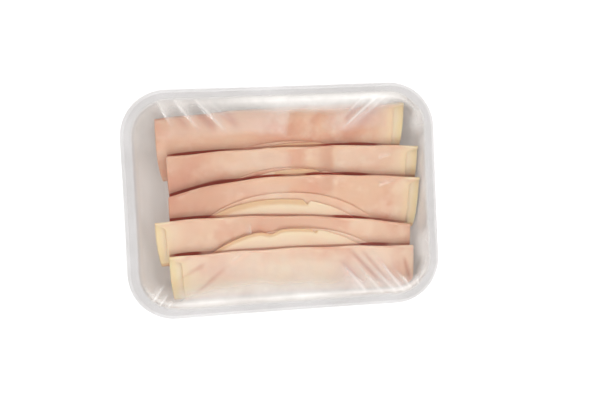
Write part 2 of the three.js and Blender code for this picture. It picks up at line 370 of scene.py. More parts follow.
@dataclass(frozen=True)
class MeatFinish:
    """Moist cooked meat with fine fat, faint blotches, painted shade and a rind along part of the edge.
    """

    name: str
    tone: Colour
    seed: float
    blush: Colour = (224.0, 164.0, 138.0)
    pale: Colour = (247.0, 216.0, 190.0)
    rind: Colour = (248.0, 222.0, 178.0)
    crust: Colour = (226.0, 186.0, 146.0)
    cream: Colour = (249.0, 225.0, 194.0)
    # Tones of painted shade: the next for darker blots and pressed grooves, shade for the crevices under
    # the folds.
    blot_shade: Colour = (203.0, 138.0, 113.0)
    shade: Colour = (156.0, 47.0, 16.0)
    speck: Colour = (126.0, 78.0, 52.0)
    rind_width: float = 4.0
    rind_soft: Pair = (2.4, 1.0)
    crust_shares: Pair = (0.45, 1.25)
    cream_width: float = 12.5
    edge_noise: float = 0.8
    speck_scale: float = 6.0
    speck_edge: Pair = (0.025, 0.055)
    seldom: Pair = (0.46, 0.54)
    swell_scale: float = 22.0
    swell_height: float = 2.2
    pore_scale: float = 160.0
    wet_scale: float = 9.0
    roughness: Pair = (0.36, 0.52)

    def _colour(self, sheet: NodeSheet, flat: Socket) -> Socket:
        """Mixes the meat's colour, from its tone to the painted shade of its folds.

        Args:
            sheet: The material's nodes.
            flat: Place on the unfolded slice, in decimetres.

        Returns:
            The colour.
        """
        colour = linear(*self.tone)
        for mottle, tone in ((CLOUDS, self.blush), (PATCHES, self.pale), (GRAIN, self.pale)):
            shift = (mottle.shift[0] * self.seed, mottle.shift[1] * self.seed, 0.0)
            where = sheet.stretch(flat, (1.0, mottle.squash, 1.0), shift)
            spots = sheet.band(sheet.noise(where, mottle.scale, mottle.detail), mottle.low, mottle.high)
            colour = sheet.tint(sheet.math("MULTIPLY", spots, mottle.share), colour, tone)
        # Paler blots, then painted shade on dim parts, hollows and pressed grooves.
        for name, tone in (("pale", self.cream), ("blot_shade", self.blot_shade)):
            colour = sheet.tint(sheet.value(name), colour, tone)
        colour = self._edge(sheet, flat, colour)
        cells = {"Vector": flat, "Scale": self.speck_scale, "Randomness": 1.0}
        dots = sheet.node("ShaderNodeTexVoronoi", cells).outputs["Distance"]
        seldom = sheet.band(sheet.noise(flat, 4.0, 0.0), *self.seldom)
        in_speck = sheet.math("MULTIPLY", sheet.below(dots, *self.speck_edge), seldom)
        colour = sheet.tint(in_speck, colour, self.speck)
        # Painted shade: the dark line where a fold stands over the slice below, and the soft dark beside
        # and under the folds.
        in_line = sheet.below(sheet.value("crevice_shade_place"), 0.0, 1.0)
        line = sheet.math("MULTIPLY", in_line, sheet.value("crevice_shade_strength"))
        return sheet.tint(sheet.math("MAXIMUM", sheet.value("shade"), line), colour, self.shade)

    def _edge(self, sheet: NodeSheet, flat: Socket, colour: Socket) -> Socket:
        """Adds the cream fat and the yellow rind along the edge, where the slice has them.

        Args:
            sheet: The material's nodes.
            flat: Place on the unfolded slice, in decimetres.
            colour: The colour without them.

        Returns:
            The colour with them.
        """
        spread = 2.0 * self.edge_noise
        uneven = sheet.math("MULTIPLY_ADD", sheet.noise(flat, 16.0, 2.0), spread, -self.edge_noise)
        edge = sheet.math("ADD", sheet.value("rim"), uneven)
        width = self.rind_width
        before, beyond = self.rind_soft
        whole, gone = self.crust_shares
        strips = (
            (("fat",), self.cream, width + beyond, self.cream_width),
            (("rind",), self.rind, width - before, width + beyond),
            (("crust", "rind"), self.crust, whole * width, gone * width),
        )
        for names, tone, low, high in strips:
            share = sheet.below(edge, low, high)
            for name in names:
                share = sheet.math("MULTIPLY", share, sheet.value(name))
            colour = sheet.tint(share, colour, tone)
        return colour

    def material(self) -> bpy.types.Material:
        """Builds the finish.

        Returns:
            The material.
        """
        sheet = NodeSheet(bpy.data.materials.new(self.name))
        flat = sheet.node("ShaderNodeUVMap", uv_map="flat").outputs["UV"]
        swell = sheet.noise(flat, self.swell_scale, 2.0)
        pores = sheet.noise(flat, self.pore_scale, 3.0)
        height = sheet.math("MULTIPLY_ADD", swell, self.swell_height, pores)
        bump = sheet.node("ShaderNodeBump", {"Strength": 0.3, "Distance": 0.0002, "Height": height})
        skin = {
            "Base Color": self._colour(sheet, flat),
            "Roughness": sheet.remap(sheet.noise(flat, self.wet_scale, 3.0), (0.3, 0.7), self.roughness),
            "Normal": bump.outputs["Normal"],
            "Subsurface Weight": 0.3,
            "Subsurface Radius": (1.0, 0.45, 0.28),
            "Subsurface Scale": 0.0022,
            "Specular IOR Level": 0.35,
        }
        return sheet.finish(sheet.node("ShaderNodeBsdfPrincipled", skin).outputs[0])


@dataclass(frozen=True)
class TrayFinish:
    """Thin, milky, see-through plastic with a satin skin, its inside painted lighter and warmer."""

    name: str = "milky_plastic"
    thick: Colour = (206.0, 203.0, 202.0)
    thin: Colour = (216.0, 213.0, 213.0)
    # Painted light: the inner floor and lower wall are lighter and warmer, standing in for light through
    # the tray's bottom and the meat's warm bounce.
    inside: Colour = (231.0, 221.0, 213.0)
    inside_heights: Pair = (0.009, 0.019)

    def material(self) -> bpy.types.Material:
        """Builds the finish.

        Returns:
            The material.
        """
        sheet = NodeSheet(bpy.data.materials.new(self.name))
        place = sheet.node("ShaderNodeTexCoord").outputs["Object"]
        flow = sheet.noise(sheet.stretch(place, (1.0, 1.0, 2.5), (0.0, 0.0, 0.0)), 28.0, 3.0)
        colour = sheet.tint(sheet.band(flow, 0.35, 0.7), linear(*self.thick), self.thin)
        height = sheet.node("ShaderNodeSeparateXYZ", {0: place}).outputs[2]
        # Painted light inside the tray, on faces turned up below the flange.
        within = sheet.math("MULTIPLY", sheet.below(height, *self.inside_heights), sheet.value("inner"))
        swell = sheet.math("MULTIPLY_ADD", sheet.noise(place, 110.0, 1.0), 0.25, flow)
        bump = sheet.node("ShaderNodeBump", {"Strength": 0.2, "Distance": 0.001, "Height": swell})
        skin = {
            "Base Color": sheet.tint(within, colour, self.inside),
            "Roughness": sheet.remap(flow, (0.3, 0.7), (0.26, 0.38)),
            "Normal": bump.outputs["Normal"],
            "Subsurface Weight": 0.5,
            "Subsurface Radius": (1.0, 1.0, 1.0),
            "Subsurface Scale": 0.004,
            "Specular IOR Level": 0.5,
        }
        return sheet.finish(sheet.node("ShaderNodeBsdfPrincipled", skin).outputs[0])


@dataclass(frozen=True)
class FilmFinish:
    """Clear glossy film, milky where the mesh stores a faint haze and painted reflections and highlights.
    """

    name: str = "clear_film"
    veil: Colour = (250.0, 246.0, 242.0)
    roughness: float = 0.09
    straight_shine: float = 0.03

    def material(self) -> bpy.types.Material:
        """Builds the finish.

        Returns:
            The material.
        """
        sheet = NodeSheet(bpy.data.materials.new(self.name))
        place = sheet.node("ShaderNodeTexCoord").outputs["Object"]
        uneven = sheet.remap(sheet.noise(place, 60.0, 3.0), (0.25, 0.75), (0.75, 1.25))
        # The milk paints the film's reflections and highlights over a faint real haze.
        haze_and_reflection = sheet.math("MULTIPLY", sheet.value("haze_and_reflection"), uneven)
        clear = sheet.node("ShaderNodeBsdfTransparent", {"Color": (0.99, 0.99, 0.99, 1.0)}).outputs[0]
        milk_and_sheen = sheet.node("ShaderNodeBsdfDiffuse", {"Color": linear(*self.veil)}).outputs[0]
        body = sheet.node("ShaderNodeMixShader", {0: haze_and_reflection, 1: clear, 2: milk_and_sheen}).outputs[0]
        gloss = {"Color": (1.0, 1.0, 1.0, 1.0), "Roughness": self.roughness}
        shine = sheet.node("ShaderNodeBsdfGlossy", gloss).outputs[0]
        slant = sheet.node("ShaderNodeLayerWeight", {"Blend": 0.5}).outputs["Facing"]
        grazing = sheet.math("POWER", slant, 5.0)
        share = sheet.math("MULTIPLY_ADD", grazing, 1.0 - self.straight_shine, self.straight_shine)
        return sheet.finish(sheet.node("ShaderNodeMixShader", {0: share, 1: body, 2: shine}).outputs[0])


# ---- tray ----

LIP_WAVES = (Wave(1.0, 6.25, start=1.3), Wave(0.6, 1.0 / 0.37), Wave(1.0, math.inf, 1.0 / 0.21, 0.4))


@dataclass(frozen=True)
class TrayOutline:
    """The rounded outline of the tray before its sides bow in."""

    length: float
    width: float
    corner: float = CORNER_RADIUS
    bow: float = SIDE_BOW

    def inset(self, x: Array, y: Array) -> Array:
        """Measures how far points lie inside the outline.

        Args:
            x: Places along the tray.
            y: Places across the tray.

        Returns:
            The distances.
        """
        over_x = np.abs(x) - (self.length / 2 - self.corner)
        over_y = np.abs(y) - (self.width / 2 - self.corner)
        outside = np.hypot(np.maximum(over_x, 0.0), np.maximum(over_y, 0.0))
        return self.corner - outside - np.minimum(np.maximum(over_x, over_y), 0.0)

    @classmethod
    def around(cls, length: float, width: float) -> "TrayOutline":
        """The outline whose sides, once bowed in, span a length and a width.

        Args:
            length: Greatest length after the sides bow in.
            width: Greatest width after the sides bow in.

        Returns:
            The outline before its sides bow in.
        """
        spans = []
        for span, across in ((length, width), (width, length)):
            pulled = 1.0 - (1.0 - 2.0 * CORNER_RADIUS / across) ** 2
            spans.append(span + 2.0 * SIDE_BOW * pulled)
        return cls(spans[0], spans[1])

    def bowed(self, points: Array) -> Array:
        """Pulls the middles of the sides in.

        Args:
            points: Points before that.

        Returns:
            The moved points.
        """
        along_x = points[:, 0] / (self.length / 2)
        along_y = points[:, 1] / (self.width / 2)
        moved = points.copy()
        moved[:, 0] -= self.bow * along_x * (1.0 - along_y**2)
        moved[:, 1] -= self.bow * along_y * (1.0 - along_x**2)
        return moved


def arc(centre: Pair, radius: float, turns: Pair, steps: int) -> list[Pair]:
    """Finds points along an arc of the tray's section.

    Args:
        centre: Inset and height of its centre.
        radius: Its radius.
        turns: Its first and last angle, in radians.
        steps: How many steps it has.

    Returns:
        Pairs of inset and height, with both ends.
    """
    angles = [turns[0] + (turns[1] - turns[0]) * step / steps for step in range(steps + 1)]
    return [(centre[0] + radius * math.cos(turn), centre[1] + radius * math.sin(turn)) for turn in angles]


@dataclass
class Tray:
    """The shallow tray: rolled lip, sealing land, drafted wall and raised floor."""

    outline: TrayOutline
    height: float
    lip_radius: float = 2.5
    lip_skirt: float = 0.8
    shoulder_radius: float = 1.2
    base_radius: float = 8.0
    foot_width: float = 7.0
    panel_slope: float = 2.5
    corner_segments: int = 18
    side_cuts: int = 15
    lip_steps: int = 7
    shoulder_steps: int = 5
    wall_steps: int = 3
    base_steps: int = 8
    lip_ripple: float = 0.16

    def section(self) -> list[Pair]:
        """Draws the upper face from the lip to the floor.

        Returns:
            Pairs of inset and height.
        """
        lip_centre = (self.lip_radius, self.height - self.lip_radius)
        lip_turns = (math.pi, math.pi / 2)
        points = arc(lip_centre, self.lip_radius, lip_turns, self.lip_steps)[1:]
        shoulder = (FLANGE - self.shoulder_radius, self.height - self.shoulder_radius)
        points += arc(shoulder, self.shoulder_radius, (math.pi / 2, DRAFT), self.shoulder_steps)
        top_inset, top_height = points[-1]
        foot_height = WALL + self.base_radius * (1.0 - math.sin(DRAFT))
        foot_inset = top_inset + (top_height - foot_height) * math.tan(DRAFT)
        for step in range(1, self.wall_steps):
            share = step / self.wall_steps
            inset = top_inset + (foot_inset - top_inset) * share
            points.append((inset, top_height + (foot_height - top_height) * share))
        centre = foot_inset + self.base_radius * math.cos(DRAFT)
        base_turns = (math.pi + DRAFT, 1.5 * math.pi)
        points += arc((centre, WALL + self.base_radius), self.base_radius, base_turns, self.base_steps)
        panel = centre + self.foot_width
        for share in (0.0, 0.25, 0.5, 0.75, 1.0):
            rise = PANEL_RISE * share * share * (3.0 - 2.0 * share)
            points.append((panel + self.panel_slope * share, WALL + rise))
        return points

    def _rounded_sheet(self, bm: bmesh.types.BMesh) -> bmesh.types.BMFace:
        """Starts the tray as one flat face with round corners, at the foot of the lip.

        Args:
            bm: The bmesh to start it in.

        Returns:
            The face.
        """
        bmesh.ops.create_grid(bm, x_segments=1, y_segments=1, size=0.5)
        bmesh.ops.scale(bm, vec=(self.outline.length, self.outline.width, 1.0), verts=bm.verts)
        start = self.height - self.lip_radius - self.lip_skirt
        bmesh.ops.translate(bm, vec=(0.0, 0.0, start), verts=bm.verts)
        bmesh.ops.bevel(
            bm,
            geom=list(bm.verts),
            offset=self.outline.corner,
            offset_type="OFFSET",
            segments=self.corner_segments,
            profile=0.5,
            affect="VERTICES",
            material=-1,
        )
        long_edges = [edge for edge in bm.edges if edge.calc_length() > self.outline.corner]
        bmesh.ops.subdivide_edges(bm, edges=long_edges, cuts=self.side_cuts)
        return max(bm.faces, key=lambda face: face.calc_area())

    def _shell(self) -> bpy.types.Mesh:
        """Draws the section round the outline and gives it the wall's thickness.

        Returns:
            The mesh, in millimetres.
        """
        bm = bmesh.new()
        face = self._rounded_sheet(bm)
        grown = bmesh.ops.extrude_face_region(bm, geom=[face])["geom"]
        face = next(part for part in grown if isinstance(part, bmesh.types.BMFace))
        lifted = list(face.verts)
        bmesh.ops.translate(bm, vec=(0.0, 0.0, self.lip_skirt), verts=lifted)
        under = [part for part in bm.faces if part is not face and len(part.verts) > 4]
        bmesh.ops.delete(bm, geom=under, context="FACES_ONLY")
        before = (0.0, self.height - self.lip_radius)
        for inset, height in self.section():
            step_in = inset - before[0]
            step_up = height - before[1]
            bmesh.ops.inset_region(
                bm,
                faces=[face],
                thickness=step_in,
                depth=step_up,
                use_even_offset=True,
                use_boundary=True,
            )
            before = (inset, height)
        bmesh.ops.recalc_face_normals(bm, faces=bm.faces)
        if face.normal.z < 0:
            bmesh.ops.reverse_faces(bm, faces=bm.faces)
        bmesh.ops.solidify(bm, geom=list(bm.faces), thickness=WALL)
        return drawn(bm, "milky_tray")

    def build(self) -> bpy.types.Object:
        """Models the tray and gives it its finish.

        Returns:
            The finished piece.
        """
        mesh = self._shell()
        points = self.outline.bowed(read_points(mesh))
        x, y = points[:, 0], points[:, 1]
        near_lip = 1.0 - smoothstep(self.outline.inset(x, y), 0.0, FLANGE)
        wave = ripple(LIP_WAVES, x, y) / sum(part.height for part in LIP_WAVES)
        points[:, 2] -= self.lip_ripple * near_lip * (1.0 + wave) / 2
        write_points(mesh, points)
        close_up(mesh, merge=0.001, sharp_angle=math.radians(50.0))
        normals = np.empty(len(mesh.vertices) * 3)
        mesh.vertices.foreach_get("normal", normals)
        write_value(mesh, "inner", smoothstep(normals[2::3], -0.05, 0.05))
        piece = show(mesh, TrayFinish().material())
        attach(piece, BODY)
        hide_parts("tray")
        return piece


# ---- slices ----

MEAT_WAVES = (Wave(0.5, 7.3, shift=0.9), Wave(0.5, 12.7, 9.0, shift=2.0), Wave(0.35, 4.1, -6.0))
FOLD_WAVES = (Wave(0.22, 5.7, shift=1.7),)
GAP_WAVES = (Wave(0.4, 7.3, shift=1.0), Wave(0.3, 4.4, shift=2.0))
BLOT_WAVES = (Wave(1.1, 3.7, shift=1.0), Wave(0.5, 1.6))


class Leaf(Enum):
    """The two leaves that a slice has after its first fold."""

    OUTER = -1
    INNER = 1


class RindEnd(Enum):
    """The end of a folded slice that shows the rind."""

    LEFT = -1
    RIGHT = 1


@dataclass(frozen=True)
class EdgeDent:
    """A place where the round edge of one leaf draws back from its curve.

    The rind follows a bend of the edge and is cut through by a nick.
    """

    leaf: Leaf
    at: float
    depth: float
    spread: float
    nick: bool = False


@dataclass(frozen=True)
class Blot:
    """A soft-edged part of a slice painted darker or paler than the rest, as painted shade or a painted
    reflection.
    """

    low: float
    high: float
    strength: float
    soft: Pair = (12.0, 12.0)
    start: float = -20.0
    stop: float = 60.0
    soft_down: float = 6.0

    def on(self, x: Array, place: Array) -> Array:
        """How much of the blot each place gets.

        Args:
            x: Places along the tray.
            place: Distances from the first fold, on the flat slice.

        Returns:
            Its strength in the middle, fading to 0 at its edges.
        """
        bent = x + ripple(BLOT_WAVES, place, place, self.high)
        left, right = self.soft
        across = window(bent, about(self.low, left / 2), about(self.high, right / 2))
        down = window(place, about(self.start, self.soft_down), about(self.stop, self.soft_down))
        return self.strength * across * down


@dataclass(frozen=True)
class Crease:
    """A shallow groove that a fold of the film presses into the meat, with painted shade along it."""

    start: Pair
    end: Pair
    depth: float = 0.4
    spread: float = 1.1
    darkness: float = 0.4

    def on(self, x: Array, y: Array) -> Array:
        """How much of the groove each place gets.

        Args:
            x: Places along the tray.
            y: Places across the tray.

        Returns:
            1 in the middle of the groove, fading to 0 beside it and at its ends.
        """
        along, across = line_places(self.start, self.end, x, y)
        fade = window(along, (-0.05, 0.3), (0.7, 1.05))
        return bell(across, 0.0, self.spread) * fade


@dataclass(frozen=True)
class Lift:
    """A place where the first fold stands up from the slice below it."""

    at: float
    spread: float
    height: float


def bend_radius(side: Array) -> Array:
    """The inner leaf turns inside the outer one at the second fold."""
    return np.where(side > 0, LAYER / 2, 1.5 * LAYER)


@dataclass
class FoldedSlice:
    """One round slice, folded twice and laid into its sloping slot."""

    index: int
    x: float
    y: float
    slope: float
    bow: float
    skew: float
    half: float
    width: float
    tilt: float
    miss: float
    slide: float
    rind_end: RindEnd
    tone: Colour
    rind_start: float = -18.0
    flap_rind: float = 3.4
    flap_pale: float = 0.35
    dents: tuple[EdgeDent, ...] = ()
    lifts: tuple[Lift, ...] = ()
    shade_blots: tuple[Blot, ...] = ()
    pales: tuple[Blot, ...] = ()
    creases: tuple[Crease, ...] = ()
    on_top: tuple["FoldedSlice", ...] = ()
    columns: int = 160
    down_rows: int = 44
    bend_rows: int = 8
    cap_rows: int = 42
    crown_rows: int = 9
    column_pull: float = 0.4
    down_pull: float = 1.3
    cap_pull: float = 1.6
    rim_round: float = 0.25
    unrest: float = 0.16
    lift_reach: float = 7.0
    fold_wave_reach: float = 10.0
    # Widths and strengths of the painted shade along and under the folds.
    thin_gap: float = 0.12
    gap_per_lift: float = 1.1
    line_core: float = 0.2
    line_blur: float = 0.3
    line_reach: float = 8.0
    faint_line: float = 0.55
    dark_line: float = 0.97
    full_gap: float = 0.45
    soft_dark: float = 0.24
    soft_reach: float = 3.2
    soft_before: float = 6.0
    under_dark: float = 0.6
    under_reach: float = 7.0
    under_crown: Pair = (0.45, 0.8)
    flap_pale_ends: Pair = (16.0, 62.0)
    faint_rind: float = 0.4
    faint_rind_start: Pair = (0.6, 0.8)
    rind_fade: Pair = (0.5, 0.5)
    fat_fade: Pair = (42.0, 6.0)
    crust: float = 0.8
    halvings: int = 30

    def _round_edge(self, along: Array, side: Array, roundness: float, with_nicks: bool = True) -> Array:
        """Measures from the first fold to a leaf's round edge.

        Args:
            along: Places along the leaf, from its middle.
            side: The leaf of each place.
            roundness: Exponent of the round edge.
            with_nicks: Whether nicks draw it back too.

        Returns:
            The distances.
        """
        share = np.minimum(np.abs(along) / self.half, 1.0)
        edge = HALF_DEPTH * (1.0 - share**roundness) ** (1.0 / roundness) - side * self.miss
        for dent in self.dents:
            on_leaf = (side == dent.leaf.value) & (with_nicks or not dent.nick)
            edge = edge - np.where(on_leaf, dent.depth * bell(along, dent.at, dent.spread), 0.0)
        return edge

    def _end_slide(self, side: Array, down: Array, end: float) -> Array:
        """How far the end of a leaf is moved. On the first fold both ends stand out."""
        away = np.tanh(down / LEAF_BLEND)
        return end * abs(self.slide) * (1.0 - away) + side * self.slide * away

    def _meeting(self, side: Array, down: Array, tilt: Array, end: float) -> Array:
        """Finds where each row meets the slice's edge, towards one end.

        Args:
            side: The leaf of each row.
            down: How far down from the first fold it is.
            tilt: How far it slopes.
            end: -1 for the left end and 1 for the right one.

        Returns:
            Places along the fold.
        """
        inner = np.zeros_like(down)
        outer = np.full_like(down, self.half)
        slid = self._end_slide(side, down, end)
        for _ in range(self.halvings):
            middle = (inner + outer) / 2
            reached = down + tilt * (end * middle + slid) + CROWN_LENGTH
            inside = reached < self._round_edge(end * middle, side, END_ROUNDNESS)
            inner = np.where(inside, middle, inner)
            outer = np.where(inside, outer, middle)
        return end * inner + slid

    def _rows(self) -> Array:
        """Lists the rows of the slab.

        Returns:
            One line for each row: side, down, tilt, reach and, on the crown, its share.
        """
        leaves = {}
        for side in (-1, 1):
            bend = math.pi * float(bend_radius(np.array(side)))
            rows = []
            for share in np.linspace(0.0, 1.0, self.down_rows + 1) ** self.down_pull:
                rows.append((side, self.width * share, self.tilt * share, 0.0, -1.0))
            for share in np.linspace(0.0, 1.0, self.bend_rows + 1)[1:]:
                rows.append((side, self.width + bend * share, self.tilt, 0.0, -1.0))
            evenly = np.linspace(0.0, 1.0, self.cap_rows + 1)[1:]
            for share in 1.0 - (1.0 - evenly) ** self.cap_pull:
                rows.append((side, self.width + bend, self.tilt, share, -1.0))
            leaves[side] = rows
        crown = []
        for step in range(1, self.crown_rows):
            crown.append((1, 0.0, 0.0, 0.0, step / self.crown_rows))
        return np.array([*reversed(leaves[-1]), *crown, *leaves[1]])

    def _slab(self, row_count: int) -> bpy.types.Mesh:
        """Makes a flat slab: x counts columns, y counts rows, z is -1, 0 or 1 through the meat.

        Args:
            row_count: How many rows it has.

        Returns:
            The mesh.
        """
        bm = bmesh.new()
        bmesh.ops.create_grid(bm, x_segments=self.columns, y_segments=row_count - 1, size=0.5)
        bmesh.ops.translate(bm, vec=(0.5, 0.5, -1.0), verts=bm.verts)
        bmesh.ops.scale(bm, vec=(self.columns, row_count - 1, 1.0), verts=bm.verts)
        grown = bmesh.ops.extrude_face_region(bm, geom=list(bm.faces))["geom"]
        lifted = [part for part in grown if isinstance(part, bmesh.types.BMVert)]
        bmesh.ops.translate(bm, vec=(0.0, 0.0, 2.0), verts=lifted)
        upright = [edge for edge in bm.edges if abs(edge.verts[0].co.z - edge.verts[1].co.z) > 1.0]
        bmesh.ops.subdivide_edges(bm, edges=upright, cuts=1)
        return drawn(bm, f"folded_slice_{self.index + 1}")

    def _fold(self, side: Array, flat: Array, offset: Array) -> Array:
        """Turns flat points over the second fold.

        Args:
            side: The leaf of each point.
            flat: Place along the fold and place down from it.
            offset: Distance from the middle of the meat.

        Returns:
            Place along the fold, place down and depth in the stack.
        """
        radius = bend_radius(side)
        bent = radius - side * offset
        angle = math.atan(self.tilt)
        beyond = (flat[:, 1] - self.width - self.tilt * flat[:, 0]) * math.cos(angle)
        turn = np.clip(beyond / radius, 0.0, math.pi)
        back = np.maximum(beyond - math.pi * radius, 0.0)
        shift = np.where(beyond > 0, bent * np.sin(turn) - back - beyond, 0.0)
        depth = BEND_CENTRE - bent * np.cos(turn)
        along = flat[:, 0] - shift * math.sin(angle)
        return np.column_stack([along, flat[:, 1] + shift * math.cos(angle), depth])

    def _settle(self, folded: Array) -> Array:
        """Lays folded points into the slot, with the sag and the rise of the pile.

        Args:
            folded: Place along the fold, place down and depth in the stack.

        Returns:
            The points in the tray.
        """
        fold = self.fold_line(self.x + folded[:, 0])
        slot = FIRST_SLOT - self.index * SLOT_PITCH
        up = (fold - slot) / math.cos(SLOT_ANGLE) - folded[:, 1]
        height = STACK_HEIGHT - folded[:, 2]
        y = slot + up * math.cos(SLOT_ANGLE) - height * math.sin(SLOT_ANGLE)
        z = FLOOR_HEIGHT + CLEARANCE + up * math.sin(SLOT_ANGLE) + height * math.cos(SLOT_ANGLE)
        z -= SAG * (np.maximum(y - SAG_START, 0.0) / WARP_SPAN) ** 2
        z += RISE * (np.maximum(RISE_START - y, 0.0) / WARP_SPAN) ** 2
        return np.column_stack([self.x + folded[:, 0], y, z])

    def _press(self, points: Array, outline: TrayOutline, rim: float) -> Array:
        """Squeezes the meat back softly where the tray's wall is.

        Args:
            points: Points of the settled slice.
            outline: The tray's outline.
            rim: Height of the tray's flange.

        Returns:
            The moved points.
        """
        core = np.array([outline.length / 2, outline.width / 2]) - outline.corner
        nearest = np.clip(points[:, :2], -core, core)
        away = points[:, :2] - nearest
        distance = np.linalg.norm(away, axis=1)
        wall = outline.corner - FLANGE - (rim - points[:, 2]) * math.tan(DRAFT)
        free = wall - CLEARANCE - SIDE_BOW - PRESS_BAND
        over = np.maximum(distance - free, 0.0)
        pressed = free + PRESS_BAND * (1.0 - np.exp(-over / PRESS_BAND))
        scale = np.where(over > 0, pressed / np.maximum(distance, 1e-9), 1.0)
        return np.column_stack([nearest + away * scale[:, None], points[:, 2]])

    def _unrest(self, points: Array, down: Array, on_flap: Array) -> Array:
        """Adds the small unevenness of soft slices.

        Args:
            points: Points of the settled slice.
            down: Distance of each point from the first fold, on the flat slice.
            on_flap: True on the flap below the second fold.

        Returns:
            The moved points.
        """
        x, y = points[:, 0], points[:, 1]
        moved = points.copy()
        moved[:, 2] += self.unrest * ripple(MEAT_WAVES, x, y, self.index)
        top = ~on_flap * bell(down, 0.0, self.lift_reach)
        for lift in self.lifts:
            moved[:, 2] += lift.height * bell(x, lift.at, lift.spread) * top
        for crease in self.creases:
            moved[:, 2] -= crease.depth * crease.on(x, y) * ~on_flap
        near_fold = bell(down, 0.0, self.fold_wave_reach)
        moved[:, 1] += ripple(FOLD_WAVES, x, y, self.index) * near_fold
        return moved

    def fold_line(self, x: Array) -> Array:
        """Finds where the first fold runs, seen from above.

        Args:
            x: Places along the tray.

        Returns:
            Places across the tray.
        """
        along = x - self.x
        share = along / self.half
        bulge = (self.bow + self.skew * share) * (1.0 - share**2)
        return self.y - self.bow + self.slope * along + bulge

    def gap_width(self, x: Array) -> Array:
        """Finds how wide the painted shade line along the first fold is.

        Args:
            x: Places along the tray.

        Returns:
            The widths, 0 beyond the ends of the fold.
        """
        width = np.full_like(x, self.thin_gap)
        for lift in self.lifts:
            width = width + self.gap_per_lift * lift.height * bell(x, lift.at, lift.spread)
        width = width * (1.0 + ripple(GAP_WAVES, x, x, self.index))
        on_fold = np.abs(x - self.x) < self.half + abs(self.slide)
        return np.where(on_fold, width, 0.0)

    def _rim(self, own: Array, side: Array, place: Array, end_gap: Array) -> Array:
        """Distance of flat points from the edge of the slice, good close to it.

        Args:
            own: Place along the leaf, from its middle.
            side: The leaf of each point.
            place: Distance from the first fold.
            end_gap: Distance to the nearer end of the row.

        Returns:
            The distance in millimetres.
        """
        step = 0.5
        shifts = (-step, 0.0, step)
        edges = [self._round_edge(own + shift, side, ROUNDNESS, with_nicks=False) for shift in shifts]
        before, edge, after = edges
        drop = (edge - CROWN_LENGTH - place) / np.hypot(1.0, (after - before) / (2.0 * step))
        drop = drop * MeatFinish.rind_width / self.flap_rind
        on_flap = place > self.width
        return np.where(on_flap, np.minimum(np.maximum(drop, 0.0), end_gap), end_gap)

    def _shade(self, points: Array, faces_down: Array, on_flap: Array) -> Array:
        """How much painted shade each point gets by a fold.

        Args:
            points: Points of the settled slice.
            faces_down: The painted shade on the underside of the first fold, else 0.
            on_flap: True on the flap below the second fold.

        Returns:
            The share of the painted shade tone.
        """
        shade = faces_down.copy()
        for above, here in self._covers(on_flap):
            beyond = above.past_fold(points)
            soft = self.soft_dark * np.exp(-np.maximum(beyond, 0.0) / self.soft_reach)
            near = here & (above.gap_width(points[:, 0]) > 0) & (beyond > -self.soft_before)
            shade = np.maximum(shade, soft * near)
        return np.clip(shade, 0.0, 1.0)

    def _covers(self, on_flap: Array) -> list[tuple["FoldedSlice", Array]]:
        """The slices whose first fold lies on this one, each with the points that it lies on."""
        return [(self, on_flap), *((above, ~on_flap) for above in self.on_top)]

    def past_fold(self, points: Array) -> Array:
        """How far points lie out beyond the first fold, seen from above."""
        return points[:, 1] - self.fold_line(points[:, 0]) - CROWN_REACH

    def _crevice_shade(self, points: Array, on_flap: Array) -> tuple[Array, Array]:
        """Where the painted shade line by a fold lies, and how dark it is.

        Args:
            points: Points of the settled slice.
            on_flap: True on the flap below the second fold.

        Returns:
            Place across the line, whole below 0 and gone from 1 on, and its strength.
        """
        far = 5.0
        place = np.full(len(points), far)
        strength = np.zeros(len(points))
        for above, here in self._covers(on_flap):
            gap = above.gap_width(points[:, 0])
            beyond = above.past_fold(points)
            soft = (1.0 - self.line_core) * gap + self.line_blur
            across = (beyond - self.line_core * gap) / soft
            here = here & (gap > 0) & (beyond > -self.line_reach)
            place = np.where(here, np.clip(across, -far, far), place)
            deeper = (self.dark_line - self.faint_line) * smoothstep(gap, 0.1, self.full_gap)
            strength = np.where(here, self.faint_line + deeper, strength)
        return place, strength

    def _blotted(self, blots: tuple[Blot, ...], x: Array, place: Array) -> Array:
        """Takes the strongest of the parts of the upper face that are darker or paler.

        Args:
            blots: Those parts.
            x: Places along the tray.
            place: Distances from the first fold, on the flat slice.

        Returns:
            The strength at each point.
        """
        strength = np.zeros_like(x)
        for blot in blots:
            strength = np.maximum(strength, blot.on(x, place))
        return strength * (place < self.width)

